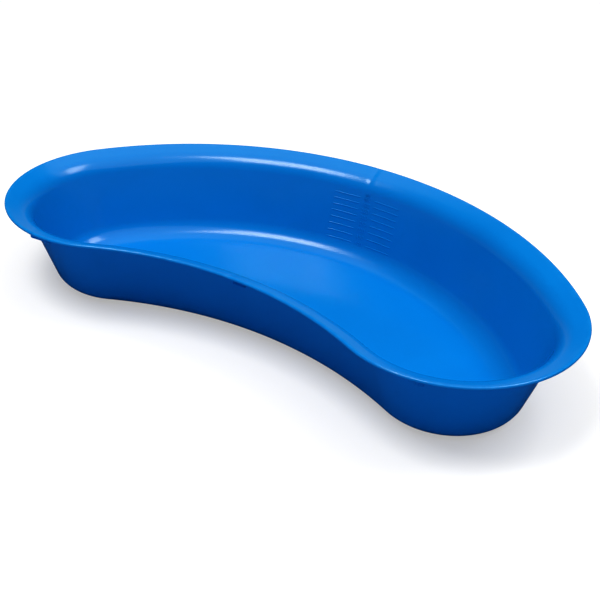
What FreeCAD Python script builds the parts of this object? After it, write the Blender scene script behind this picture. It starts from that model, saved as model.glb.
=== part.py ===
import FreeCAD
import Part
import math
import os

# Kidney dish, a one-piece injection moulding in polypropylene.
# Millimetres. +Z is up, +X is the long way, -Y is the hollow front.
# The origin is the centre of the footprint box, on the underside.
#
# The plan outline is four tangent arcs: back, two ends and a hollow front.
# Every level of the dish is that outline moved inwards by an "inset".
# A region is therefore a flat section (inset, z) turned about an arc centre.

# ---- driving dimensions: plan outline at the rim -------------------------
rim_length = 256.0
back_radius = 148.0
end_radius = 48.0
front_radius = 139.6

# ---- driving dimensions: section -----------------------------------------
wall_thick = 1.4
lip_centre_z = 38.8
flange_reach = 5.17
flange_rise_deg = 20.6
bend_radius = 10.4
wall_draft_deg = 17.8
inner_curve_radius = 10.9
outer_curve_radius = 9.0

# ---- driving dimensions: stacking gussets --------------------------------
gusset_thick = 1.3
gusset_tip_inset = 2.0
gusset_tip_z = 35.4
gusset_root_z = 29.0
gusset_back_deg = 41.4
gusset_end_deg = 9.0

# ---- driving dimensions: raised volume scale on the back wall ------------
scale_first_ml = 100
scale_last_ml = 450
scale_step_ml = 50
scale_shift = 1.2
line_length = 12.8
line_gap = 7.6
line_height = 0.45
mark_raise = 0.25
digit_height = 1.9
digit_width = 1.35
digit_pitch = 2.1
stroke = 0.34
unit_mark_height = 1.5
unit_mark_lift = 2.0

# ---- derived values: plan ------------------------------------------------
half_thick = wall_thick / 2.0
end_x = rim_length / 2.0 - end_radius
back_drop = math.sqrt((back_radius - end_radius) ** 2 - end_x ** 2)
front_drop = math.sqrt((front_radius + end_radius) ** 2 - end_x ** 2)
rim_width = back_radius - back_drop + end_radius
end_y = end_radius - rim_width / 2.0
back_y = end_y - back_drop
front_y = end_y - front_drop
join_back_deg = math.degrees(math.atan2(back_drop, end_x))
join_front_deg = math.degrees(math.atan2(front_drop, end_x))
end_sweep_deg = 180.0 + join_back_deg - join_front_deg

# ---- derived values: section, as (inset, z) ------------------------------
rise = math.radians(flange_rise_deg)
draft = math.radians(wall_draft_deg)
under_radius = bend_radius - wall_thick


def along(point, angle, distance):
    """Move a section point; angle is measured from +Z towards the inside."""
    return (point[0] + distance * math.sin(angle), point[1] + distance * math.cos(angle))


lip_centre = (half_thick, lip_centre_z)
lip_top = along(lip_centre, rise, half_thick)
lip_under = along(lip_centre, rise, -half_thick)
lip_tip = along(lip_centre, rise - math.pi / 2.0, half_thick)
bend_start_z = lip_top[1] - (flange_reach - lip_top[0]) * math.tan(rise)
bend_start = (flange_reach, bend_start_z)
bend_centre = along(bend_start, rise, -bend_radius)
steep = math.pi / 2.0 - draft
middle = (rise + steep) / 2.0
bend_top_mid = along(bend_centre, middle, bend_radius)
bend_top_end = along(bend_centre, steep, bend_radius)
bend_under_start = along(bend_centre, rise, under_radius)
bend_under_mid = along(bend_centre, middle, under_radius)
bend_under_end = along(bend_centre, steep, under_radius)


def inner_wall_inset(z):
    """Inset of the straight inner wall face at height z."""
    return bend_top_end[0] + (bend_top_end[1] - z) * math.tan(draft)


def outer_wall_inset(z):
    """Inset of the straight outer wall face at height z."""
    return inner_wall_inset(z) - wall_thick / math.cos(draft)


curve_reach = math.tan(steep / 2.0)
inner_floor_inset = inner_wall_inset(wall_thick) + inner_curve_radius * curve_reach
outer_floor_inset = outer_wall_inset(0.0) + outer_curve_radius * curve_reach
inner_curve_centre = (inner_floor_inset, wall_thick + inner_curve_radius)
outer_curve_centre = (outer_floor_inset, outer_curve_radius)
inner_curve_top = along(inner_curve_centre, steep, -inner_curve_radius)
inner_curve_mid = along(inner_curve_centre, steep / 2.0, -inner_curve_radius)
outer_curve_top = along(outer_curve_centre, steep, -outer_curve_radius)
outer_curve_mid = along(outer_curve_centre, steep / 2.0, -outer_curve_radius)
# The wall meets the curve below it on a level cut through both faces.
curve_cut_z = max(inner_curve_top[1], outer_curve_top[1])
curve_cut_inner = (inner_wall_inset(curve_cut_z), curve_cut_z)
curve_cut_outer = (outer_wall_inset(curve_cut_z), curve_cut_z)

# Each arc: centre, radius at the rim, side of the dish, first angle, sweep.
# The side is -1 where the inset shortens the radius and +1 where it adds.
arcs = {
    "back": (0.0, back_y, back_radius, -1, join_back_deg, 180.0 - 2.0 * join_back_deg),
    "left_end": (-end_x, end_y, end_radius, -1, 180.0 - join_back_deg, end_sweep_deg),
    "front": (0.0, front_y, front_radius, 1, join_front_deg,
              180.0 - 2.0 * join_front_deg),
    "right_end": (end_x, end_y, end_radius, -1, join_front_deg - 180.0, end_sweep_deg),
}


# ---- section and sweep helpers -------------------------------------------
def section_face(arc_name, pieces):
    """Face in the XZ plane from pieces: 2 points a line, 3 points an arc."""
    _, _, radius, side, _, _ = arcs[arc_name]
    edges = []
    for piece in pieces:
        points = [FreeCAD.Vector(radius + side * p[0], 0.0, p[1]) for p in piece]
        if len(points) == 2:
            edges.append(Part.LineSegment(points[0], points[1]).toShape())
        else:
            edges.append(Part.Arc(points[0], points[1], points[2]).toShape())
    return Part.Face(Part.Wire(edges))


def turn(arc_name, pieces, first_deg, sweep_deg):
    """Solid made by turning a section about its arc centre."""
    centre_x, centre_y, _, _, _, _ = arcs[arc_name]
    up = FreeCAD.Vector(0.0, 0.0, 1.0)
    origin = FreeCAD.Vector(0.0, 0.0, 0.0)
    face = section_face(arc_name, pieces)
    face.rotate(origin, up, first_deg)
    solid = face.revolve(origin, up, sweep_deg)
    solid.translate(FreeCAD.Vector(centre_x, centre_y, 0.0))
    return tidy(solid)


def tidy(shape):
    """The shape as one valid solid with outward faces."""
    if shape.Volume < 0.0:
        shape = shape.reversed()
    if shape.ShapeType != "Solid" and len(shape.Solids) == 1:
        shape = shape.Solids[0]
    return shape


def outline_wire(inset, z):
    """Closed plan outline at an inset, drawn at height z."""
    edges = []
    for name in ("back", "left_end", "front", "right_end"):
        centre_x, centre_y, radius, side, first, sweep = arcs[name]
        r = radius + side * inset
        points = []
        for share in (0.0, 0.5, 1.0):
            a = math.radians(first + share * sweep)
            x = centre_x + r * math.cos(a)
            y = centre_y + r * math.sin(a)
            points.append(FreeCAD.Vector(x, y, z))
        edges.append(Part.Arc(points[0], points[1], points[2]).toShape())
    return Part.Wire(Part.__sortEdges__(edges))


# ---- the shell: floor, lower curve, wall and rim -------------------------
rim_section = [
    (lip_top, bend_start),
    (bend_start, bend_top_mid, bend_top_end),
    (bend_top_end, bend_under_end),
    (bend_under_end, bend_under_mid, bend_under_start),
    (bend_under_start, lip_under),
    (lip_under, lip_tip, lip_top),
]
wall_section = [
    (bend_top_end, curve_cut_inner),
    (curve_cut_inner, curve_cut_outer),
    (curve_cut_outer, bend_under_end),
    (bend_under_end, bend_top_end),
]
curve_section = [
    (curve_cut_inner, curve_cut_outer),
    (outer_curve_top, outer_curve_mid, (outer_floor_inset, 0.0)),
    ((outer_floor_inset, 0.0), (inner_floor_inset, 0.0)),
    ((inner_floor_inset, 0.0), (inner_floor_inset, wall_thick)),
    ((inner_floor_inset, wall_thick), inner_curve_mid, inner_curve_top),
]
if curve_cut_z - outer_curve_top[1] > 1e-6:
    curve_section.insert(1, (curve_cut_outer, outer_curve_top))
if curve_cut_z - inner_curve_top[1] > 1e-6:
    curve_section.append((inner_curve_top, curve_cut_inner))

parts = {}
for name, (_, _, _, _, first, sweep) in arcs.items():
    parts["rim_" + name] = turn(name, rim_section, first, sweep)
    parts["wall_" + name] = turn(name, wall_section, first, sweep)
    parts["base_curve_" + name] = turn(name, curve_section, first, sweep)

floor_face = Part.Face(outline_wire(inner_floor_inset, 0.0))
parts["floor_panel"] = tidy(floor_face.extrude(FreeCAD.Vector(0.0, 0.0, wall_thick)))


# ---- stacking gussets: thin webs between the wall and the flange ---------
def flange_under_z(inset):
    """Height of the flange underside at an inset outside the bend."""
    return lip_under[1] - (inset - lip_under[0]) * math.tan(rise)


gusset_root = (outer_wall_inset(gusset_root_z), gusset_root_z)
gusset_top_tip = (gusset_tip_inset, flange_under_z(gusset_tip_inset))
gusset_low_tip = (gusset_tip_inset, gusset_tip_z)
gusset_section = [
    (gusset_top_tip, bend_under_start),
    (bend_under_start, bend_under_mid, bend_under_end),
    (bend_under_end, gusset_root),
    (gusset_root, gusset_low_tip),
    (gusset_low_tip, gusset_top_tip),
]
gusset_places = [
    ("back", 90.0),
    ("back", 90.0 - gusset_back_deg),
    ("back", 90.0 + gusset_back_deg),
    ("front", 90.0),
    ("left_end", 270.0 - gusset_end_deg),
    ("right_end", -90.0 + gusset_end_deg),
]
gussets = []
for name, place in gusset_places:
    _, _, radius, side, _, _ = arcs[name]
    middle_radius = radius + side * (gusset_tip_inset + gusset_root[0]) / 2.0
    width_deg = math.degrees(gusset_thick / middle_radius)
    gussets.append(turn(name, gusset_section, place - width_deg / 2.0, width_deg))
parts["stacking_gussets"] = Part.Compound(gussets)

# ---- heights of the scale lines, from the dish's own volume --------------
floor_area = floor_face.Area
floor_edge = floor_face.OuterWire.Length


def area_at(inset):
    """Plan area inside the dish at an inset, outwards from the floor's edge."""
    out = inner_floor_inset - inset
    return floor_area + floor_edge * out + math.pi * out ** 2


def inner_inset(z):
    """Inset of the inner surface at any height below the bend."""
    if z >= inner_curve_top[1]:
        return inner_wall_inset(z)
    rise_left = inner_curve_centre[1] - z
    return inner_curve_centre[0] - math.sqrt(inner_curve_radius ** 2 - rise_left ** 2)


def volume_ml(level):
    """Contents in millilitres when filled to a level."""
    slices = 400
    step = (level - wall_thick) / slices
    total = 0.0
    for i in range(slices):
        total += area_at(inner_inset(wall_thick + (i + 0.5) * step)) * step
    return total / 1000.0


def level_for(volume):
    """Height at which the dish holds a volume in millilitres."""
    low = wall_thick + 0.01
    high = bend_top_end[1]
    for _ in range(40):
        level = (low + high) / 2.0
        if volume_ml(level) < volume:
            low = level
        else:
            high = level
    return level


# ---- raised marks on the inner back wall ---------------------------------
def raised_patch(x_low, x_high, z_low, z_high):
    """Thin block on the back wall; x is measured along the wall."""
    normal = math.pi / 2.0 - draft
    foot = (inner_wall_inset(z_low), z_low)
    head = (inner_wall_inset(z_high), z_high)
    head_out = along(head, normal, mark_raise)
    foot_out = along(foot, normal, mark_raise)
    pieces = [(foot, head), (head, head_out), (head_out, foot_out), (foot_out, foot)]
    radius = back_radius - inner_wall_inset((z_low + z_high) / 2.0)
    first = 90.0 - math.degrees(x_high / radius)
    return turn("back", pieces, first, math.degrees((x_high - x_low) / radius))


def fused(patches):
    """One solid from overlapping patches."""
    shape = patches[0]
    if len(patches) > 1:
        shape = shape.fuse(patches[1:])
        shape = shape.removeSplitter()
    return tidy(shape)


# Bars of a digit: top, upper right, lower right, bottom, lower left,
# upper left and middle, as (left, right, low, high) in digit units.
half_height = digit_height / 2.0
digit_bars = {
    "t": (0.0, digit_width, digit_height - stroke, digit_height),
    "ur": (digit_width - stroke, digit_width, half_height - stroke / 2.0, digit_height),
    "lr": (digit_width - stroke, digit_width, 0.0, half_height + stroke / 2.0),
    "b": (0.0, digit_width, 0.0, stroke),
    "ll": (0.0, stroke, 0.0, half_height + stroke / 2.0),
    "ul": (0.0, stroke, half_height - stroke / 2.0, digit_height),
    "m": (0.0, digit_width, half_height - stroke / 2.0, half_height + stroke / 2.0),
    "i": ((digit_width - stroke) / 2.0, (digit_width + stroke) / 2.0, 0.0, digit_height),
}
digit_shapes = {
    "0": ("t", "ur", "lr", "b", "ll", "ul"),
    "1": ("i",),
    "2": ("t", "ur", "m", "ll", "b"),
    "3": ("t", "ur", "m", "lr", "b"),
    "4": ("ul", "m", "ur", "lr"),
    "5": ("t", "ul", "m", "lr", "b"),
}


def digit_solid(digit, x, z):
    """One raised digit with its lower left corner at x, z."""
    patches = []
    for bar in digit_shapes[digit]:
        left, right, low, high = digit_bars[bar]
        patches.append(raised_patch(x + left, x + right, z + low, z + high))
    return fused(patches)


lines_left = []
lines_right = []
numbers = []
steps = (scale_last_ml - scale_first_ml) // scale_step_ml + 1
levels = []
for i in range(steps):
    volume = scale_first_ml + i * scale_step_ml
    level = level_for(volume)
    levels.append(level)
    low = level - line_height / 2.0
    high = level + line_height / 2.0
    left = scale_shift - line_gap / 2.0
    right = scale_shift + line_gap / 2.0
    lines_left.append(raised_patch(left - line_length, left, low, high))
    lines_right.append(raised_patch(right, right + line_length, low, high))
    text = str(volume)
    text_width = digit_pitch * (len(text) - 1) + digit_width
    for k, digit in enumerate(text):
        x = scale_shift - text_width / 2.0 + k * digit_pitch
        numbers.append(digit_solid(digit, x, level - digit_height / 2.0))
parts["scale_lines_left"] = Part.Compound(lines_left)
parts["scale_lines_right"] = Part.Compound(lines_right)
parts["scale_numbers"] = Part.Compound(numbers)

# The unit mark "ml" stands over the top number.
mark_z = levels[-1] + unit_mark_lift - unit_mark_height / 2.0
m_height = unit_mark_height * 0.68
m_width = digit_pitch
m_left = scale_shift - digit_pitch
m_bars = [(0.0, m_width, m_height - stroke, m_height)]
for share in (0.0, 0.5, 1.0):
    bar_left = share * (m_width - stroke)
    m_bars.append((bar_left, bar_left + stroke, 0.0, m_height))
m_patches = []
for left, right, low, high in m_bars:
    m_patches.append(raised_patch(m_left + left, m_left + right, mark_z + low, mark_z + high))
l_left = scale_shift + 0.7 * digit_pitch
l_patch = raised_patch(l_left, l_left + stroke, mark_z, mark_z + unit_mark_height)
parts["scale_unit_mark"] = Part.Compound([fused(m_patches), l_patch])

# ---- write one file per named region -------------------------------------
os.makedirs("parts", exist_ok=True)
box = FreeCAD.BoundBox()
for name in sorted(parts):
    shape = parts[name]
    shape.exportStep("parts/" + name + ".step")
    box.add(shape.BoundBox)
    volume = sum(s.Volume for s in shape.Solids)
    print("%-22s solids %2d valid %s volume %9.1f" % (
        name, len(shape.Solids), shape.isValid(), volume))
print("box", [round(v, 2) for v in (box.XMin, box.XMax, box.YMin, box.YMax, box.ZMin, box.ZMax)])
print("levels", [round(v, 2) for v in levels])
print("rim width", round(rim_width, 2), "bend end", [round(v, 2) for v in bend_top_end])
print("brim volume ml", round(volume_ml(bend_top_end[1]), 1))
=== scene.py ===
# %% [markdown]
# # A kidney dish in blue polypropylene
#
# The dish is one thin moulding: a flat floor, a large curve up to a sloping wall,
# a tight bend out to a rising flange, and a round lip. The plan is four arcs that
# touch smoothly: the back, two ends and a hollow front. This lesson draws the
# section once, turns it about each arc's centre, and then adds the small things:
# webs under the flange, a raised scale, and the marks that moulding leaves.

# %% Load the fixed frame
import math

import bmesh
import bpy
from mathutils import Matrix, Quaternion, Vector


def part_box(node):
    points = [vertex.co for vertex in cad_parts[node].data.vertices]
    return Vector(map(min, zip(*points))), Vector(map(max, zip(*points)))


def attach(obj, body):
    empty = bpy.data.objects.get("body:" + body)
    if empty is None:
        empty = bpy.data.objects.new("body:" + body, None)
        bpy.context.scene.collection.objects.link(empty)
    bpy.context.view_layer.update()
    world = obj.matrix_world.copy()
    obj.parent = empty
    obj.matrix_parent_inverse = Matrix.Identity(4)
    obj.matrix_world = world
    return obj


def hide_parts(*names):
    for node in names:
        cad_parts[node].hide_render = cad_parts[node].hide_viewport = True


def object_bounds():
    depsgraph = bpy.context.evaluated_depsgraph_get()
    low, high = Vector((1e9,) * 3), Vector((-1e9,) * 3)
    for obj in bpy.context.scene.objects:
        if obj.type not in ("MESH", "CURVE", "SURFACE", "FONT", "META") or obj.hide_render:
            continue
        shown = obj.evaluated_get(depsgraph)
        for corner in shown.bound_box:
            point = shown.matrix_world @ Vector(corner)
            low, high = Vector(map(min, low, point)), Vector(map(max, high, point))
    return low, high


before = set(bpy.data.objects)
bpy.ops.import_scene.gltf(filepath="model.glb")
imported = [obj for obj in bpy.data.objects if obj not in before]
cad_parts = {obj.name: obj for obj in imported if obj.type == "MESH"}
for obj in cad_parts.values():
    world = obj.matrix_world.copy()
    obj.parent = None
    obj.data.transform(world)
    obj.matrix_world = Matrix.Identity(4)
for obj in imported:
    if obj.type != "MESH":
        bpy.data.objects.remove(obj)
cad_low, cad_high = [Vector(corner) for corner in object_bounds()]
print("frame box, mm:", [round(1000 * side, 2) for side in cad_high - cad_low])

# %% [markdown]
# The frame is the engineer's model, in metres, with every region in its place.
# Sizes are read from it wherever a box can tell them, so the two models stay the
# same size. Radii and slopes can't be read from a box, so they are given here once.

# %% Sizes that shape the dish
mm = 0.001
length, width, height = cad_high - cad_low
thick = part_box("floor_panel")[1].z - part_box("floor_panel")[0].z
wall_head_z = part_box("wall_back")[1].z
back_radius = 148.0 * mm
end_radius = 48.0 * mm
front_radius = 139.6 * mm
draft = 17.8
rise = 20.6
bend_radius = 10.4 * mm
inner_curve_radius = 10.9 * mm
outer_curve_radius = 9.0 * mm
floor_lap = 1.5 * mm
print("wall thickness, mm:", round(thick / mm, 2), "wall head, mm:", round(wall_head_z / mm, 2))

# %% [markdown]
# A section is easy to draw the way a toolmaker walks it: go straight, bend, go
# straight again. In Blender a single vertex can be extruded for a straight run and
# spun for a bend, and the bend is then a true arc that meets its neighbours smoothly.
# Headings are in degrees, 0 towards the middle of the dish and 90 straight up.


# %% Two helpers that walk along a section
def straight(section, tip, run, heading):
    """Carry the line on in a straight run."""
    angle = math.radians(heading)
    made = bmesh.ops.extrude_vert_indiv(section, verts=[tip])["verts"]
    step = Vector((run * math.cos(angle), 0.0, run * math.sin(angle)))
    bmesh.ops.translate(section, verts=made, vec=step)
    return made[0]


def curve(section, tip, radius, heading, turn, steps):
    """Carry the line on along an arc; a positive turn goes left."""
    angle = math.radians(heading)
    side = math.copysign(radius, turn)
    centre = tip.co + side * Vector((-math.sin(angle), 0.0, math.cos(angle)))
    made = bmesh.ops.spin(
        section, geom=[tip], cent=centre, axis=(0.0, -1.0, 0.0), dvec=(0.0, 0.0, 0.0),
        angle=math.radians(turn), steps=steps, use_merge=False, use_duplicate=False)
    return [item for item in made["geom_last"] if isinstance(item, bmesh.types.BMVert)][0]


# %% [markdown]
# The walk starts on the floor inside the dish, climbs the inner face, goes round
# the lip and comes down the outer face to the underside. The heights of the wall's
# head and of the lip come from the frame, and they fix how long each run is.

# %% Draw the section of the wall
steep = 90.0 - draft
bend_turn = 180.0 - rise - (90.0 + draft)
slope = math.radians(draft)
tilt = math.radians(rise)
inner_curve_rise = inner_curve_radius * (1.0 - math.sin(slope))
outer_curve_rise = outer_curve_radius * (1.0 - math.sin(slope))
inner_wall_run = (wall_head_z - thick - inner_curve_rise) / math.cos(slope)
outer_head_z = wall_head_z - thick * math.sin(slope)
outer_wall_run = (outer_head_z - outer_curve_rise) / math.cos(slope)
bend_rise = bend_radius * (math.cos(tilt) - math.sin(slope))
lip_top_z = height - thick / 2.0 * (1.0 - math.cos(tilt))
flange_run = (lip_top_z - wall_head_z - bend_rise) / math.sin(tilt)

section = bmesh.new()
tip = section.verts.new((0.0, 0.0, thick))
tip = straight(section, tip, floor_lap, 180.0)
tip = curve(section, tip, inner_curve_radius, 180.0, -steep, 16)
for share in range(4):
    tip = straight(section, tip, inner_wall_run / 4.0, 90.0 + draft)
wall_head = tip
tip = curve(section, tip, bend_radius, 90.0 + draft, bend_turn, 14)
bend_head = tip
for share in range(3):
    tip = straight(section, tip, flange_run / 3.0, 180.0 - rise)
tip = curve(section, tip, thick / 2.0, 180.0 - rise, 180.0, 10)
tip = straight(section, tip, flange_run, -rise)
tip = curve(section, tip, bend_radius - thick, -rise, -bend_turn, 8)
tip = straight(section, tip, outer_wall_run / 2.0, -steep)
tip = straight(section, tip, outer_wall_run / 2.0, -steep)
tip = curve(section, tip, outer_curve_radius, -steep, steep, 12)
tip = straight(section, tip, floor_lap, 0.0)

reach = min(vert.co.x for vert in section.verts)
bmesh.ops.translate(section, verts=section.verts[:], vec=(-reach, 0.0, 0.0))
wall_head_inset = wall_head.co.x
bend_head_inset = bend_head.co.x
print("section points:", len(section.verts), "end height off zero, mm:", round(tip.co.z / mm, 4))
print("wall head inset, mm:", round(wall_head_inset / mm, 2))

# %% [markdown]
# The plan is four arcs. The distance between two arc centres is the difference of
# their radii where one lies inside the other, and the sum where they lie back to
# back, so the length of the rim is enough to place all the centres.

# %% Place the four arcs of the plan
end_x = length / 2.0 - end_radius
back_drop = math.sqrt((back_radius - end_radius) ** 2 - end_x ** 2)
front_drop = math.sqrt((front_radius + end_radius) ** 2 - end_x ** 2)
end_y = end_radius - width / 2.0
join_back = math.degrees(math.atan2(back_drop, end_x))
join_front = math.degrees(math.atan2(front_drop, end_x))
end_sweep = 180.0 + join_back - join_front
back_centre = Vector((0.0, end_y - back_drop, 0.0))
front_centre = Vector((0.0, end_y - front_drop, 0.0))
left_centre = Vector((-end_x, end_y, 0.0))
right_centre = Vector((end_x, end_y, 0.0))
arcs = {
    "back": (back_centre, back_radius, -1.0, join_back, 180.0 - 2.0 * join_back),
    "left_end": (left_centre, end_radius, -1.0, 180.0 - join_back, end_sweep),
    "front": (front_centre, front_radius, 1.0, join_front, 180.0 - 2.0 * join_front),
    "right_end": (right_centre, end_radius, -1.0, join_front - 180.0, end_sweep),
}
back_error = back_centre.y + back_radius - cad_high.y
print("rim at the back off the frame, mm:", round(back_error / mm, 4))

# %% [markdown]
# A full sweep along a path would need a path curve and would round the section's
# points off. Turning the section about each arc's own centre is exact, and it is
# what a lathe would do. Neighbouring sweeps end on the same line, so merging the
# doubles sews the four of them into one skin. A Python set has no fixed order, so the
# edges are gathered in a dict, which keeps theirs.


# %% Sweep the section round the plan
def on_arc(radius, side, centre, degrees):
    """Matrix that stands an inset drawing on an arc at an angle."""
    stretch = Matrix.Diagonal((side, 1.0, 1.0, 1.0))
    out = Matrix.Translation((radius, 0.0, 0.0))
    turned = Matrix.Rotation(math.radians(degrees), 4, "Z")
    return Matrix.Translation(centre) @ turned @ out @ stretch


def edges_of(verts):
    """Edges that meet some points, each once and in a fixed order."""
    return list(dict.fromkeys(edge for vert in verts for edge in vert.link_edges))


section_mesh = bpy.data.meshes.new("section")
section.to_mesh(section_mesh)
section.free()
skin = bmesh.new()
column_width = 1.1 * mm
for name, (centre, radius, side, first, sweep) in arcs.items():
    known = len(skin.verts)
    skin.from_mesh(section_mesh)
    skin.verts.ensure_lookup_table()
    line = skin.verts[known:]
    bmesh.ops.transform(skin, matrix=on_arc(radius, side, centre, first), verts=line)
    edges = edges_of(line)
    columns = round(radius * math.radians(sweep) / column_width)
    bmesh.ops.spin(
        skin, geom=line + edges, cent=centre, axis=(0.0, 0.0, 1.0), dvec=(0.0, 0.0, 0.0),
        angle=math.radians(sweep), steps=columns, use_merge=False, use_duplicate=False)
before = len(skin.verts)
bmesh.ops.remove_doubles(skin, verts=skin.verts[:], dist=0.01 * mm)
print("skin points:", len(skin.verts), "merged:", before - len(skin.verts))

# %% [markdown]
# The floor inside is filled from its edge. One inset ring keeps the flat middle
# away from the curve, so smooth shading stays true across it. The underside has
# the moulding's gate: a shallow round recess, so the snapped-off stub inside it
# can't scratch a table.

# %% Close the floor and the underside
open_edges = [edge for edge in skin.edges if edge.is_boundary]
top_edges = [edge for edge in open_edges if edge.verts[0].co.z > thick / 2.0]
low_edges = [edge for edge in open_edges if edge.verts[0].co.z < thick / 2.0]
top_floor = bmesh.ops.edgeloop_fill(skin, edges=top_edges)["faces"]
bmesh.ops.inset_region(skin, faces=top_floor, thickness=4.0 * mm, use_even_offset=True)

floor_low, floor_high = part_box("floor_panel")
gate_spot = Vector((0.0, (floor_low.y + floor_high.y) / 2.0, 0.0))
gate_radius = 5.0 * mm
recess = bmesh.ops.create_circle(
    skin, segments=48, radius=gate_radius, matrix=Matrix.Translation(gate_spot))["verts"]
recess_edges = edges_of(recess)
bmesh.ops.triangle_fill(skin, edges=low_edges + recess_edges, use_beauty=True)
inside = bmesh.ops.edgeloop_fill(skin, edges=recess_edges)["faces"]


def ring_in(faces, thickness, lift):
    """Inset a face and raise the part inside."""
    bmesh.ops.inset_region(skin, faces=faces, thickness=thickness, use_even_offset=True)
    verts = list(dict.fromkeys(vert for face in faces for vert in face.verts))
    bmesh.ops.translate(skin, verts=verts, vec=(0.0, 0.0, lift))


ring_in(inside, 0.3 * mm, 0.3 * mm)
ring_in(inside, 3.4 * mm, 0.0)
ring_in(inside, 0.15 * mm, -0.2 * mm)
ring_in(inside, 0.3 * mm, 0.04 * mm)
bmesh.ops.recalc_face_normals(skin, faces=skin.faces[:])
print("open edges left:", sum(1 for edge in skin.edges if edge.is_boundary))

# %% [markdown]
# Where a web joins the flange underneath, the plastic is thicker, cools last and
# shrinks, and that pulls a faint hollow line into the show side. It is far too
# small to model as a cut, so the points near each web are pushed in by a tenth of
# a millimetre, most at the web and less to both sides.

# %% Sink marks over the webs
# Each place is an arc, the degrees round it, and the depth of its mark in mm.
web_places = [
    ("back", 90.0, 0.12), ("back", 48.6, 0.05), ("back", 131.4, 0.05),
    ("front", 90.0, 0.08), ("left_end", 261.0, 0.06), ("right_end", -81.0, 0.06)]
skin.normal_update()
moved = 0
for name, degrees, depth in web_places:
    centre, radius, side = arcs[name][:3]
    angle = math.radians(degrees)
    along = Vector((-math.sin(angle), math.cos(angle), 0.0))
    away = Vector((math.cos(angle), math.sin(angle), 0.0))
    for vert in skin.verts:
        spot = vert.co - centre
        inset = side * (spot.to_2d().length - radius)
        if spot.dot(away) < 0.0 or abs(spot.dot(along)) > 4.0 * mm:
            continue
        if vert.normal.z < 0.25 or vert.co.z < wall_head_z - 1.0 * mm:
            continue
        near = math.exp(-(spot.dot(along) / (0.75 * mm)) ** 2)
        fade = min(1.0, max(0.0, (inset - 1.2 * mm) / (2.0 * mm)))
        vert.co -= vert.normal * depth * mm * near * fade
        moved += 1
print("points pushed in:", moved)


# %% [markdown]
# Every visible part of the dish ends the same way. The bmesh becomes a mesh, faces
# are shaded smooth except across true corners, the object rides on the dish's body,
# and the regions of the engineer's model that it stands for are hidden. One helper
# does all of that, so no piece can miss a step. Some operators list the same points in
# another order on another run, so points and faces are sorted by their place first.


# %% Turn a mesh into a piece of the dish
def make_piece(shape, name, nodes):
    """Object from a bmesh, riding on the dish and standing for its CAD regions."""
    for i, vert in enumerate(sorted(shape.verts, key=lambda vert: vert.co.to_tuple())):
        vert.index = i
    shape.verts.sort()
    corners = {face: sorted(vert.index for vert in face.verts) for face in shape.faces}
    for i, face in enumerate(sorted(shape.faces, key=lambda face: corners[face])):
        face.index = i
    shape.faces.sort()
    mesh = bpy.data.meshes.new(name)
    shape.to_mesh(mesh)
    shape.free()
    mesh.shade_smooth()
    mesh.set_sharp_from_angle(angle=math.radians(40.0))
    piece = bpy.data.objects.new(name, mesh)
    bpy.context.scene.collection.objects.link(piece)
    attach(piece, "root")
    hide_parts(*nodes)
    print(name, "faces:", len(mesh.polygons))
    return piece


shell_nodes = ["floor_panel"]
for name in arcs:
    shell_nodes += ["base_curve_" + name, "wall_" + name, "rim_" + name]
shell = make_piece(skin, "dish_shell", shell_nodes)

# %% [markdown]
# The webs hold the next dish in a stack apart. Each is a flat plate between the
# wall and the flange. It starts as an outline that runs inside the thickness of
# the shell, so no gap can show, is extruded to its thickness, and gets its free
# edges rounded, as a mould would leave them.

# %% Stacking webs
web_thick = 1.3 * mm
web_tip = 2.0 * mm
web_tip_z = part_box("stacking_gussets")[1].z - 2.16 * mm
web_root_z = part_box("stacking_gussets")[0].z


def web_shape():
    """One web, drawn as inset and height, centred on its own middle plane."""
    web = bmesh.new()
    top_z = height - thick / 2.0 - (web_tip - thick / 2.0) * math.tan(tilt)
    tip = web.verts.new((web_tip, 0.0, top_z))
    first = tip
    mid_bend_inset = bend_head_inset - thick / 2.0 * math.sin(tilt)
    tip = straight(web, tip, (mid_bend_inset - web_tip) / math.cos(tilt), -rise)
    tip = curve(web, tip, bend_radius - thick / 2.0, -rise, -bend_turn, 8)
    drop = tip.co.z - web_root_z + 0.5 * mm
    tip = straight(web, tip, drop / math.cos(slope), -steep)
    last = web.verts.new((web_tip, 0.0, web_tip_z))
    web.edges.new((tip, last))
    web.edges.new((last, first))
    face = bmesh.ops.edgeloop_fill(web, edges=web.edges[:])["faces"]
    made = bmesh.ops.extrude_face_region(web, geom=face, use_keep_orig=True)["geom"]
    verts = [item for item in made if isinstance(item, bmesh.types.BMVert)]
    bmesh.ops.translate(web, verts=verts, vec=(0.0, web_thick, 0.0))
    bmesh.ops.translate(web, verts=web.verts[:], vec=(0.0, -web_thick / 2.0, 0.0))
    bmesh.ops.recalc_face_normals(web, faces=web.faces[:])
    return web


def is_free(vert):
    """True for the outline's points at the tip and at the root."""
    return vert.co.x < web_tip + 0.01 * mm or vert.co.z < web_root_z


one_web = web_shape()
free_edges = [edge for edge in one_web.edges if all(is_free(vert) for vert in edge.verts)]
bmesh.ops.bevel(
    one_web, geom=free_edges, affect="EDGES", offset=0.3 * mm, offset_type="OFFSET",
    segments=4, profile=0.5, material=-1, clamp_overlap=True)
web_mesh = bpy.data.meshes.new("one_web")
one_web.to_mesh(web_mesh)
one_web.free()
webs = bmesh.new()
for name, degrees, _ in web_places:
    centre, radius, side = arcs[name][:3]
    known = len(webs.verts)
    webs.from_mesh(web_mesh)
    webs.verts.ensure_lookup_table()
    bmesh.ops.transform(
        webs, matrix=on_arc(radius, side, centre, degrees), verts=webs.verts[known:])
bmesh.ops.recalc_face_normals(webs, faces=webs.faces[:])
stacking_webs = make_piece(webs, "stacking_webs", ["stacking_gussets"])

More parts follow.
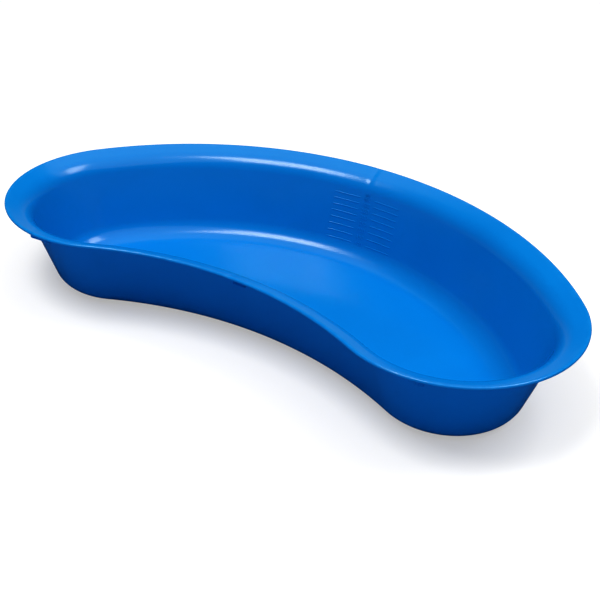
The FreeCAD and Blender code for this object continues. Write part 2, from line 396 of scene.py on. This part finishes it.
# %% [markdown]
# The scale is raised from the inner face of the back wall. Its heights are already
# in the frame, worked out from the dish's volume, so they are measured there: the
# points of the line region fall into eight groups of height.

# %% Measure the heights of the scale lines
heights = sorted(vert.co.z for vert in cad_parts["scale_lines_left"].data.vertices)
groups = [[heights[0]]]
for z in heights[1:]:
    if z - groups[-1][-1] > 1.0 * mm:
        groups.append([])
    groups[-1].append(z)
levels = [(group[0] + group[-1]) / 2.0 for group in groups]
print("scale levels, mm:", [round(z / mm, 2) for z in levels])

# %% [markdown]
# A line is a small bar that follows the round wall, so it is swept like the wall
# itself: a little section with a rounded top, spun about the back arc's centre.
# Its foot is sunk a tenth of a millimetre so that it grows out of the wall.


# %% Raised scale lines
def wall_inset(z):
    """Inset of the inner wall face at a height."""
    return wall_head_inset + (wall_head_z - z) * math.tan(slope)


def wall_frame(x, z):
    """Matrix of a flat drawing laid on the back wall, x along it and z up."""
    radius = back_radius - wall_inset(z)
    angle = math.pi / 2.0 - x / radius
    right = Vector((math.sin(angle), -math.cos(angle), 0.0))
    out = Vector((math.cos(angle), math.sin(angle), 0.0))
    up = math.sin(slope) * out + math.cos(slope) * Vector((0.0, 0.0, 1.0))
    spot = back_centre + radius * out + Vector((0.0, 0.0, z))
    turned = Matrix((right, up, right.cross(up))).transposed().to_4x4()
    return Matrix.Translation(spot) @ turned


mark_raise = 0.12 * mm
line_half = 0.225 * mm
scale_shift = 1.2 * mm
line_length = 12.8 * mm
line_gap = 7.6 * mm
normal_in = Vector((math.cos(slope), 0.0, math.sin(slope)))
up_wall = Vector((-math.sin(slope), 0.0, math.cos(slope)))


def add_lines(shape, x_from, x_to):
    """One column of raised lines between two distances along the wall."""
    for z in levels:
        foot = Vector((wall_inset(z), 0.0, z))
        older = set(shape.verts)
        corners = []
        for up, out in ((-1.25, -0.4), (-0.75, 1.0), (0.75, 1.0), (1.25, -0.4)):
            spot = foot + up * line_half * up_wall + out * mark_raise * normal_in
            corners.append(shape.verts.new(spot))
        for i in range(4):
            shape.edges.new((corners[i - 1], corners[i]))
        bmesh.ops.bevel(
            shape, geom=corners[1:3], affect="VERTICES", offset=0.14 * mm,
            offset_type="OFFSET", segments=4, profile=0.5, material=-1, clamp_overlap=True)
        verts = [vert for vert in shape.verts if vert not in older]
        loop = edges_of(verts)
        radius = back_radius - wall_inset(z)
        start = 90.0 - math.degrees(x_to / radius)
        sweep = (x_to - x_from) / radius
        stand = on_arc(back_radius, -1.0, back_centre, start)
        bmesh.ops.transform(shape, matrix=stand, verts=verts)
        bmesh.ops.spin(
            shape, geom=verts + loop, cent=back_centre, axis=(0.0, 0.0, 1.0),
            dvec=(0.0, 0.0, 0.0), angle=sweep, steps=10, use_merge=False, use_duplicate=False)
    bmesh.ops.holes_fill(shape, edges=[edge for edge in shape.edges if edge.is_boundary], sides=0)
    bmesh.ops.recalc_face_normals(shape, faces=shape.faces[:])
    return shape


left_end_x = scale_shift - line_gap / 2.0
right_start_x = scale_shift + line_gap / 2.0
left_lines = add_lines(bmesh.new(), left_end_x - line_length, left_end_x)
right_lines = add_lines(bmesh.new(), right_start_x, right_start_x + line_length)
lines_left = make_piece(left_lines, "lines_left", ["scale_lines_left"])
lines_right = make_piece(right_lines, "lines_right", ["scale_lines_right"])

# %% [markdown]
# Numbers are text. A text object gives clean strokes with a bevel, and it is made
# a mesh before it is laid on the wall, so the finished piece sits at the origin.
# Every number is small next to the wall's radius, so a flat number fits the curve.

# %% Raised numbers
figure_height = 1.9 * mm


def add_text(shape, words, x, z, tall):
    """Raised words centred on a point of the back wall."""
    text = bpy.data.curves.new("figures", "FONT")
    text.body = words
    text.align_x = "CENTER"
    text.extrude = 0.06
    text.bevel_depth = 0.02
    text.bevel_resolution = 2
    text.offset = -0.005
    holder = bpy.data.objects.new("figures", text)
    bpy.context.scene.collection.objects.link(holder)
    bpy.context.view_layer.update()
    graph = bpy.context.evaluated_depsgraph_get()
    mesh = bpy.data.meshes.new_from_object(holder.evaluated_get(graph))
    low = min(vert.co.y for vert in mesh.vertices)
    high = max(vert.co.y for vert in mesh.vertices)
    deep = min(vert.co.z for vert in mesh.vertices)
    proud = max(vert.co.z for vert in mesh.vertices)
    size = tall / (high - low)
    flat = 1.4 * mark_raise / (proud - deep)
    centre = Matrix.Translation((0.0, -(low + high) / 2.0, -proud))
    lift = Matrix.Translation((0.0, 0.0, mark_raise))
    shrink = Matrix.Diagonal((size, size, flat, 1.0))
    mesh.transform(wall_frame(x, z) @ lift @ shrink @ centre)
    shape.from_mesh(mesh)
    bpy.data.objects.remove(holder)
    bpy.data.curves.remove(text)
    bpy.data.meshes.remove(mesh)


figures = bmesh.new()
for i, z in enumerate(levels):
    add_text(figures, str(100 + 50 * i), scale_shift, z, figure_height)
bmesh.ops.remove_doubles(figures, verts=figures.verts[:], dist=0.001 * mm)
numbers = make_piece(figures, "numbers", ["scale_numbers"])

# %% [markdown]
# The unit mark stands over the top number and is made in the same way. Its place and
# its height come from the box of its own region.

# %% Unit mark
unit_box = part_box("scale_unit_mark")
unit_z = (unit_box[0].z + unit_box[1].z) / 2.0
unit_x = (unit_box[0].x + unit_box[1].x) / 2.0
unit_shape = bmesh.new()
add_text(unit_shape, "ml", unit_x, unit_z, unit_box[1].z - unit_box[0].z)
bmesh.ops.remove_doubles(unit_shape, verts=unit_shape.verts[:], dist=0.001 * mm)
unit_mark = make_piece(unit_shape, "unit_mark", ["scale_unit_mark"])

# %% [markdown]
# ## Finishes
#
# Moulded polypropylene is never one flat colour. The melt leaves soft clouds where
# it flowed, the mould leaves a very fine skin that blurs reflections a little, the
# lip is polished by hands and other dishes, and the floor collects fine scratches.
# Each effect is a node group with named sockets, so both plastics can use it with
# their own values.


# %% Helpers for node groups
def new_group(name, inputs, outputs):
    """Node group with float, vector or colour sockets and default values."""
    group = bpy.data.node_groups.new(name, "ShaderNodeTree")
    kinds = {"v": "NodeSocketVector", "f": "NodeSocketFloat", "c": "NodeSocketColor"}
    for label, kind, value in inputs:
        made = group.interface.new_socket(name=label, in_out="INPUT", socket_type=kinds[kind])
        if value is not None:
            made.default_value = value
    for label, kind in outputs:
        group.interface.new_socket(name=label, in_out="OUTPUT", socket_type=kinds[kind])
    return group, group.nodes.new("NodeGroupInput"), group.nodes.new("NodeGroupOutput")


def add_node(tree, kind, links=None, **values):
    """Node with its properties set and its inputs linked or given."""
    node = tree.nodes.new(kind)
    for label, value in values.items():
        setattr(node, label, value)
    for label, value in (links or {}).items():
        if isinstance(value, bpy.types.NodeSocket):
            tree.links.new(value, node.inputs[label])
        else:
            node.inputs[label].default_value = value
    return node


# %% [markdown]
# A mould is never a perfect mirror. The plastic copies a fine grain from the steel,
# and sinks in slow, wide waves as it cools. Both are far too shallow to model, so two
# noises of very different size are mixed into one height for a Bump node to read.

# %% Moulded skin: fine grain and slow waviness, as a height
skin_group, enter, leave = new_group(
    "moulded_skin",
    [("Vector", "v", None), ("Grain Scale", "f", 2600.0), ("Wave Scale", "f", 60.0),
     ("Wave Share", "f", 0.5)],
    [("Height", "f")])
grain = add_node(skin_group, "ShaderNodeTexNoise", {
    "Vector": enter.outputs["Vector"], "Scale": enter.outputs["Grain Scale"],
    "Detail": 3.0, "Roughness": 0.6})
waves = add_node(skin_group, "ShaderNodeTexNoise", {
    "Vector": enter.outputs["Vector"], "Scale": enter.outputs["Wave Scale"],
    "Detail": 1.0, "Roughness": 0.4})
blend = add_node(skin_group, "ShaderNodeMix", {
    "Factor": enter.outputs["Wave Share"], "A": grain.outputs["Fac"],
    "B": waves.outputs["Fac"]}, data_type="FLOAT")
skin_group.links.new(blend.outputs["Result"], leave.inputs["Height"])
print("group:", skin_group.name)

# %% [markdown]
# Pigment doesn't spread quite evenly in the melt. A soft, distorted noise picks
# between two near shades. The cloud itself is put out too, so that the roughness can
# follow the colour.

# %% Melt flow: soft clouds between two near shades
flow_group, enter, leave = new_group(
    "melt_flow",
    [("Vector", "v", None), ("Scale", "f", 22.0), ("Deep", "c", (0.0, 0.1, 0.5, 1.0)),
     ("Light", "c", (0.0, 0.2, 0.7, 1.0))],
    [("Color", "c"), ("Cloud", "f")])
clouds = add_node(flow_group, "ShaderNodeTexNoise", {
    "Vector": enter.outputs["Vector"], "Scale": enter.outputs["Scale"],
    "Detail": 4.0, "Roughness": 0.55, "Distortion": 0.6})
spread = add_node(flow_group, "ShaderNodeMapRange", {
    "Value": clouds.outputs["Fac"], "From Min": 0.3, "From Max": 0.7})
shade = add_node(flow_group, "ShaderNodeMix", {
    "Factor": spread.outputs["Result"]}, data_type="RGBA")
flow_group.links.new(enter.outputs["Deep"], shade.inputs[6])
flow_group.links.new(enter.outputs["Light"], shade.inputs[7])
flow_group.links.new(shade.outputs[2], leave.inputs["Color"])
flow_group.links.new(spread.outputs["Result"], leave.inputs["Cloud"])
print("group:", flow_group.name)

# %% [markdown]
# The lip touches hands, shelves and other dishes, so it goes pale first. Height alone
# would draw a hard band all the way round, so it is multiplied by a patchy noise that
# breaks the band up.

# %% Lip wear: a broken mask close to a given height
wear_group, enter, leave = new_group(
    "lip_wear",
    [("Vector", "v", None), ("From Height", "f", 0.038), ("To Height", "f", 0.0395),
     ("Patch Scale", "f", 300.0)],
    [("Mask", "f")])
split = add_node(wear_group, "ShaderNodeSeparateXYZ", {"Vector": enter.outputs["Vector"]})
rise_mask = add_node(wear_group, "ShaderNodeMapRange", {
    "Value": split.outputs["Z"], "From Min": enter.outputs["From Height"],
    "From Max": enter.outputs["To Height"]})
patches = add_node(wear_group, "ShaderNodeTexNoise", {
    "Vector": enter.outputs["Vector"], "Scale": enter.outputs["Patch Scale"],
    "Detail": 4.0, "Roughness": 0.6})
broken = add_node(wear_group, "ShaderNodeMapRange", {
    "Value": patches.outputs["Fac"], "From Min": 0.42, "From Max": 0.68})
both = add_node(wear_group, "ShaderNodeMath", operation="MULTIPLY")
wear_group.links.new(rise_mask.outputs["Result"], both.inputs[0])
wear_group.links.new(broken.outputs["Result"], both.inputs[1])
wear_group.links.new(both.outputs["Value"], leave.inputs["Mask"])
print("group:", wear_group.name)

# %% [markdown]
# Wiping leaves fine scratches. A noise that is squeezed in one direction turns into
# streaks, and only its highest values are kept. Two sets cross at an angle, because
# one alone would look brushed. They change nothing but the roughness.

# %% Use marks: fine scratches in two directions
marks_group, enter, leave = new_group(
    "use_marks", [("Vector", "v", None), ("Scale", "f", 500.0)], [("Mask", "f")])
streaks = []
for turned, stretch in ((0.4, (1.0, 0.03, 1.0)), (-0.7, (1.0, 0.04, 1.0))):
    laid = add_node(marks_group, "ShaderNodeMapping", {
        "Vector": enter.outputs["Vector"], "Rotation": (0.0, 0.0, turned), "Scale": stretch})
    streak = add_node(marks_group, "ShaderNodeTexNoise", {
        "Vector": laid.outputs["Vector"], "Scale": enter.outputs["Scale"],
        "Detail": 2.0, "Roughness": 0.5})
    thin = add_node(marks_group, "ShaderNodeMapRange", {
        "Value": streak.outputs["Fac"], "From Min": 0.74, "From Max": 0.84})
    streaks.append(thin.outputs["Result"])
top_streak = add_node(marks_group, "ShaderNodeMath", operation="MAXIMUM")
marks_group.links.new(streaks[0], top_streak.inputs[0])
marks_group.links.new(streaks[1], top_streak.inputs[1])
marks_group.links.new(top_streak.outputs["Value"], leave.inputs["Mask"])
print("group:", marks_group.name)

# %% [markdown]
# The plastic itself: saturated blue pigment under a clear, semi-gloss skin. The
# groups vary its colour, roughness and bump, and everything that is the same all
# over the dish is set on the shader's own sockets.


# %% Blue polypropylene, for the body and for the marks
def blue_plastic(name, deep, light, worn, rough_low, rough_high, bump):
    """Moulded plastic material from the shared groups."""
    material = bpy.data.materials.new(name)
    material.use_nodes = True
    tree = material.node_tree
    tree.nodes.clear()
    here = add_node(tree, "ShaderNodeTexCoord").outputs["Object"]
    flow = add_node(tree, "ShaderNodeGroup", node_tree=flow_group)
    wear = add_node(tree, "ShaderNodeGroup", node_tree=wear_group)
    marks = add_node(tree, "ShaderNodeGroup", node_tree=marks_group)
    skin_height = add_node(tree, "ShaderNodeGroup", node_tree=skin_group)
    for group in (flow, wear, marks, skin_height):
        tree.links.new(here, group.inputs["Vector"])
    flow.inputs["Deep"].default_value = deep
    flow.inputs["Light"].default_value = light
    wear.inputs["From Height"].default_value = height - 0.9 * mm
    wear.inputs["To Height"].default_value = height - 0.1 * mm
    worn_share = add_node(tree, "ShaderNodeMath", operation="MULTIPLY")
    worn_share.inputs[1].default_value = 0.35
    tree.links.new(wear.outputs["Mask"], worn_share.inputs[0])
    colour = add_node(tree, "ShaderNodeMix", {
        "Factor": worn_share.outputs["Value"]}, data_type="RGBA")
    tree.links.new(flow.outputs["Color"], colour.inputs[6])
    colour.inputs[7].default_value = worn
    rough = add_node(tree, "ShaderNodeMapRange", {
        "Value": flow.outputs["Cloud"], "To Min": rough_low, "To Max": rough_high})
    scratched = add_node(tree, "ShaderNodeMath", operation="MULTIPLY_ADD")
    tree.links.new(marks.outputs["Mask"], scratched.inputs[0])
    scratched.inputs[1].default_value = 0.05
    tree.links.new(rough.outputs["Result"], scratched.inputs[2])
    raised = add_node(tree, "ShaderNodeBump", {
        "Height": skin_height.outputs["Height"], "Strength": 1.0, "Distance": bump})
    shader = add_node(tree, "ShaderNodeBsdfPrincipled", {
        "Base Color": colour.outputs[2], "Roughness": scratched.outputs["Value"],
        "Normal": raised.outputs["Normal"], "IOR": 1.49, "Specular IOR Level": 0.38})
    add_node(tree, "ShaderNodeOutputMaterial", {"Surface": shader.outputs["BSDF"]})
    print("material:", material.name)
    return material


body_plastic = blue_plastic(
    "blue_polypropylene", (0.0, 0.202, 0.585, 1.0), (0.0, 0.216, 0.615, 1.0),
    (0.02, 0.27, 0.66, 1.0), 0.16, 0.19, 0.01 * mm)
# The raised marks get a copy of the plastic a touch lighter than the body. This is a painted
# highlight for the light that the raised lines and numbers catch, though they are moulded from
# the same plastic.
mark_plastic_painted_lighter = blue_plastic(
    "raised_mark_plastic_painted_lighter", (0.0, 0.210, 0.590, 1.0), (0.0, 0.222, 0.615, 1.0),
    (0.02, 0.27, 0.66, 1.0), 0.18, 0.22, 0.005 * mm)
for piece, plastic in (
        (shell, body_plastic), (stacking_webs, body_plastic), (lines_left, mark_plastic_painted_lighter),
        (lines_right, mark_plastic_painted_lighter), (numbers, mark_plastic_painted_lighter), (unit_mark, mark_plastic_painted_lighter)):
    piece.data.materials.append(plastic)

# %% [markdown]
# ## Studio
#
# The dish stands on a wide pale table. Big soft lights hang almost straight above
# it: on a glossy curve they draw the long bright lines that show its shape. A pale
# room around them fills the shadows.

# %% [markdown]
# The table is one large plane. Plain white paper would throw too much light under the
# rim and show too brightly in the glossy walls, so the material asks what kind of ray
# has come. The camera sees near-white paper, a mirrored ray sees a dark one, and all
# other light meets a middle shade that bounces a little blue.

# %% Table
table_mesh = bpy.data.meshes.new("table")
table_shape = bmesh.new()
bmesh.ops.create_grid(table_shape, x_segments=2, y_segments=2, size=5.0)
table_shape.to_mesh(table_mesh)
table_shape.free()
table = bpy.data.objects.new("table", table_mesh)
bpy.context.scene.collection.objects.link(table)
paper = bpy.data.materials.new("pale_paper")
paper.use_nodes = True
paper_tree = paper.node_tree
paper_tree.nodes.clear()
who_looks = add_node(paper_tree, "ShaderNodeLightPath")


def paper_shader(shade, glow):
    """Matt paper of one shade, lifted by a little glow."""
    return add_node(paper_tree, "ShaderNodeBsdfPrincipled", {
        "Base Color": shade, "Roughness": 0.9, "Specular IOR Level": 0.0,
        "Emission Color": (1.0, 0.99, 0.955, 1.0), "Emission Strength": glow})


def either(question, no, yes):
    """Second shader where the question is true, else the first."""
    mix = add_node(paper_tree, "ShaderNodeMixShader", {"Fac": question})
    paper_tree.links.new(no, mix.inputs[1])
    paper_tree.links.new(yes, mix.inputs[2])
    return mix.outputs["Shader"]


lighting = paper_shader((0.44, 0.52, 0.68, 1.0), 0.0).outputs["BSDF"]
mirrored = paper_shader((0.05, 0.06, 0.08, 1.0), 0.0).outputs["BSDF"]
seen = paper_shader((0.56, 0.555, 0.575, 1.0), 0.33).outputs["BSDF"]
bounced = either(who_looks.outputs["Is Glossy Ray"], lighting, mirrored)
shown = either(who_looks.outputs["Is Camera Ray"], bounced, seen)
add_node(paper_tree, "ShaderNodeOutputMaterial", {"Surface": shown})
table_mesh.materials.append(paper)


# %% [markdown]
# Two rectangular softboxes hang about a metre up. Their place and size decide where
# the bright lines fall on the curves and how wide they are. A large dim ceiling fills
# the shadows, and the room is brightest at the horizon, where the steep walls look.
# The lamps are a touch warm and the room a touch blue, like daylight from a window.


# %% Soft lights and room light
def softbox(name, place, target, across, deep, power):
    """Rectangular soft light that looks at a target."""
    lamp = bpy.data.lights.new(name, "AREA")
    lamp.shape = "RECTANGLE"
    lamp.size = across
    lamp.size_y = deep
    lamp.energy = power
    lamp.color = (1.0, 1.0, 0.94)
    holder = bpy.data.objects.new(name, lamp)
    holder.location = place
    aim = Vector(target) - Vector(place)
    holder.rotation_euler = aim.to_track_quat("-Z", "Y").to_euler()
    bpy.context.scene.collection.objects.link(holder)
    return holder


softbox("front_softbox", (-0.19, -0.40, 1.04), (-0.19, -0.40, 0.0), 0.44, 0.40, 5.7)
softbox("side_softbox", (0.57, 0.32, 1.04), (0.57, 0.32, 0.0), 0.60, 0.36, 4.5)
softbox("ceiling_fill", (0.35, 0.0, 1.60), (0.35, 0.0, 0.0), 2.4, 2.4, 14.5)
room = bpy.data.worlds.new("pale_room")
room.use_nodes = True
room_way = add_node(room.node_tree, "ShaderNodeTexCoord")
room_split = add_node(room.node_tree, "ShaderNodeSeparateXYZ", {
    "Vector": room_way.outputs["Generated"]})
room_fade = add_node(room.node_tree, "ShaderNodeMapRange", {
    "Value": room_split.outputs["Z"], "From Min": 0.05, "From Max": 0.35,
    "To Min": 0.26, "To Max": 0.05})
room.node_tree.links.new(
    room_fade.outputs["Result"], room.node_tree.nodes["Background"].inputs["Strength"])
room.node_tree.nodes["Background"].inputs["Color"].default_value = (0.92, 0.97, 1.18, 1.0)
bpy.context.scene.world = room
bpy.context.scene.view_settings.view_transform = "Standard"
bpy.context.scene.view_settings.look = "High Contrast"

# %% [markdown]
# The camera looks down from the front right with a short telephoto lens, so the
# near end is only a little larger than the far end.

# %% Camera
azimuth = math.radians(31.69)
elevation = math.radians(32.35)
roll = math.radians(1.76)
look_at = Vector((13.85, -20.66, 18.96)) * mm
distance = 407.57 * mm
away = Vector((
    math.sin(azimuth) * math.cos(elevation),
    -math.cos(azimuth) * math.cos(elevation),
    math.sin(elevation)))
lens = bpy.data.cameras.new("camera")
lens.lens = 60.97
lens.sensor_width = 36.0
camera = bpy.data.objects.new("camera", lens)
camera.location = look_at + distance * away
aim = (-away).to_track_quat("-Z", "Y") @ Quaternion((0.0, 0.0, 1.0), roll)
camera.rotation_euler = aim.to_euler()
bpy.context.scene.collection.objects.link(camera)
bpy.context.scene.camera = camera
print("camera at, mm:", [round(value / mm, 1) for value in camera.location])
